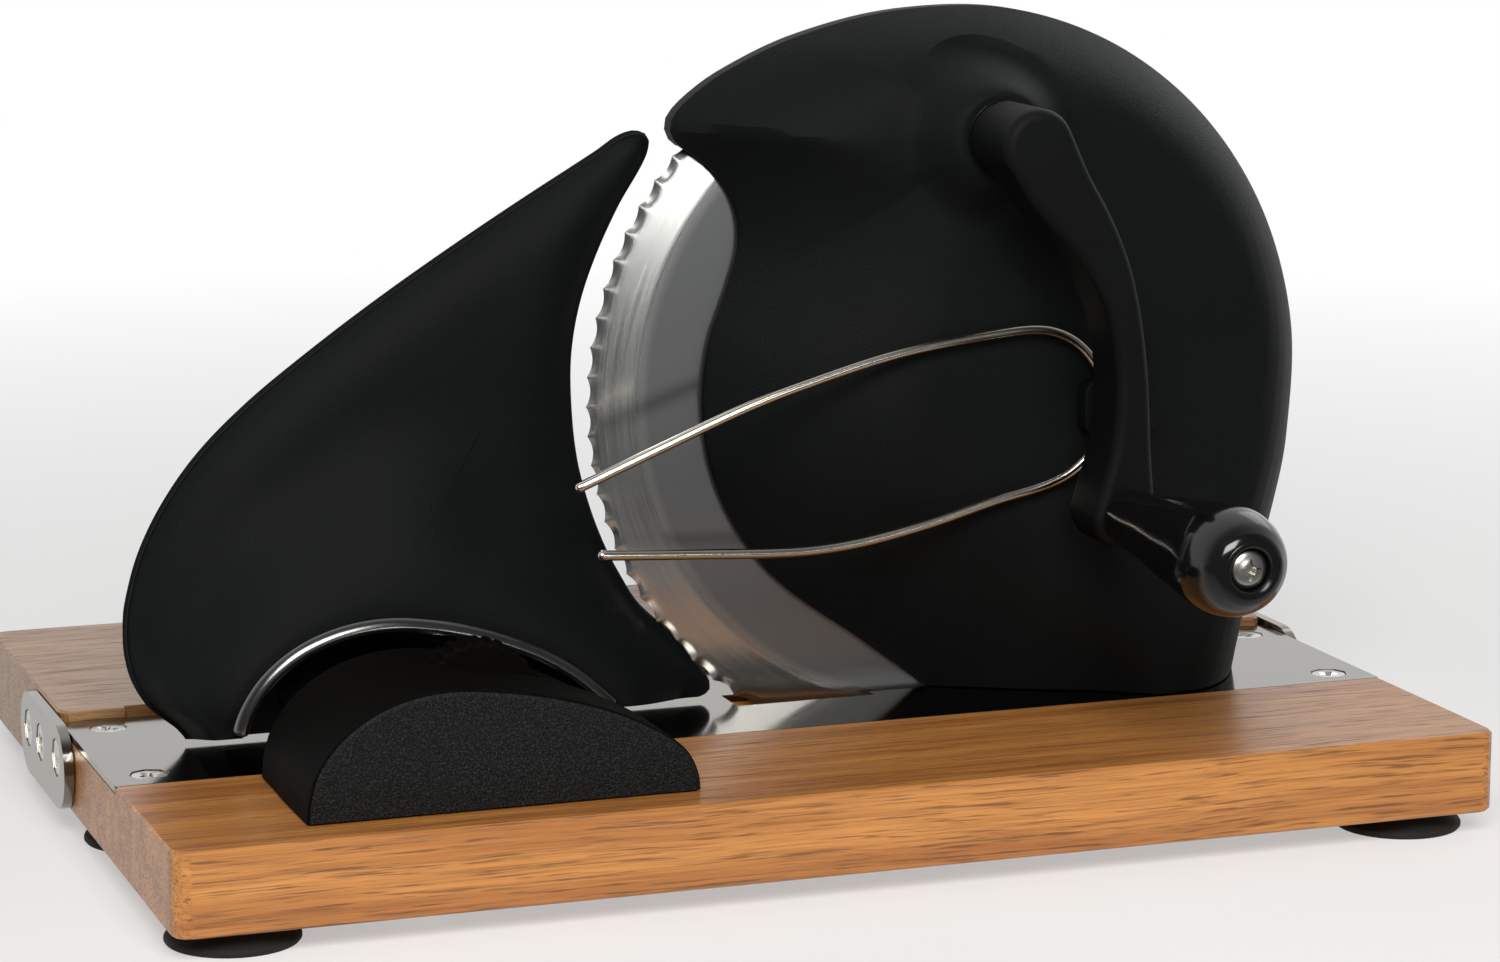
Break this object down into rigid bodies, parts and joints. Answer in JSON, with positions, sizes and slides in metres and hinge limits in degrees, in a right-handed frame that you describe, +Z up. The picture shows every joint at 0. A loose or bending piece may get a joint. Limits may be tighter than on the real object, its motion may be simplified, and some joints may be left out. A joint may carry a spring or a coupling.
{
  "type": "hand-cranked bread slicer",
  "caption": "Hand-cranked bread slicer: geared round blade in a domed housing, wire slice guard, sliding stop plate with thickness wheel, oak base with a folding rear board.",
  "frame": {"origin": "on the table, below the middle of the whole slicer's outside box", "axes": "+Z up; -Y is the crank's side, where the user stands; +X runs from the stop plate to the blade housing along the base's length"},
  "size_m": [0.3, 0.2336, 0.1791],
  "materials": {
    "oiled_oak": "oiled oak with open dark pores",
    "polished_steel": "mirror polished stainless steel",
    "blade_steel": "satin disc with a bright ground bevel",
    "screw_steel": "bright zinc or stainless steel",
    "black_shell": "matte black with a fine moulded texture",
    "black_paint": "matte black textured paint",
    "gloss_black": "glossy black",
    "gear_nylon": "natural nylon",
    "bush_bronze": "sintered bronze",
    "foot_rubber": "soft black rubber"
  },
  "bodies": {
    "base": {"front_board": "oiled_oak", "steel_plate": "polished_steel", "plate_screw_1": "screw_steel", "plate_screw_2": "screw_steel", "plate_screw_3": "screw_steel", "plate_screw_4": "screw_steel", "pivot_screw_left": "screw_steel", "pivot_screw_right": "screw_steel", "foot_1": "foot_rubber", "foot_2": "foot_rubber", "foot_3": "foot_rubber", "foot_4": "foot_rubber", "housing": "black_shell", "rear_cover": "black_shell", "cover_screw_1": "screw_steel", "cover_screw_2": "screw_steel", "cover_screw_3": "screw_steel", "housing_screw_1": "screw_steel", "housing_screw_2": "screw_steel", "blade_bush": "bush_bronze", "crank_bush_rear": "bush_bronze", "crank_bush_front": "bush_bronze", "slice_guard": "polished_steel", "guard_clamp": "black_shell", "guard_screw": "screw_steel", "guide_block": "black_shell", "block_screw_1": "screw_steel", "block_screw_2": "screw_steel"},
    "rear_leaf": {"rear_board": "oiled_oak", "end_plate_left": "polished_steel", "end_plate_right": "polished_steel", "leaf_screw_left_1": "screw_steel", "leaf_screw_left_2": "screw_steel", "leaf_screw_right_1": "screw_steel", "leaf_screw_right_2": "screw_steel"},
    "blade_unit": {"blade": "blade_steel", "blade_shaft": "screw_steel", "blade_cap": "screw_steel", "drive_wheel": "gear_nylon"},
    "crank": {"crank_shaft": "screw_steel", "pinion": "gear_nylon", "crank_washer": "gloss_black", "crank_arm": "black_paint", "knob_screw": "screw_steel"},
    "knob": {"crank_knob": "gloss_black"},
    "stop_carriage": {"stop_plate": "black_shell", "mouth_bead": "gloss_black", "threaded_rod": "screw_steel", "guide_rod_1": "screw_steel", "guide_rod_2": "screw_steel"},
    "thickness_wheel_body": {"thickness_wheel": "gloss_black"}
  },
  "joints": [
    {"name": "base_fold", "type": "hinge", "parent": "base", "child": "rear_leaf", "pos_m": [0, 0.0223, 0.0173], "axis": [1, 0, 0], "range_deg": [0, 90]},
    {"name": "blade_turn", "type": "hinge", "parent": "base", "child": "blade_unit", "pos_m": [0.0502, -0.0002, 0.0923], "axis": [0, -1, 0], "continuous": true},
    {"name": "crank_turn", "type": "hinge", "parent": "base", "child": "crank", "pos_m": [0.0502, -0.0342, 0.1523], "axis": [0, -1, 0], "continuous": true},
    {"name": "knob_turn", "type": "hinge", "parent": "crank", "child": "knob", "pos_m": [0.07157, -0.0861, 0.07086], "axis": [0, -1, 0], "continuous": true},
    {"name": "plate_slide", "type": "slide", "parent": "base", "child": "stop_carriage", "axis": [0, -1, 0], "range_m": [0, 0.014]},
    {"name": "wheel_turn", "type": "hinge", "parent": "base", "child": "thickness_wheel_body", "pos_m": [-0.074, -0.0467, 0.0395], "axis": [0, -1, 0], "range_deg": [0, 840]}
  ],
  "couplings": [
    {"joint": "crank_turn", "follows": "blade_turn", "ratio": -2.1579},
    {"joint": "wheel_turn", "follows": "plate_slide", "rad_per_m": 1047.2}
  ]
}
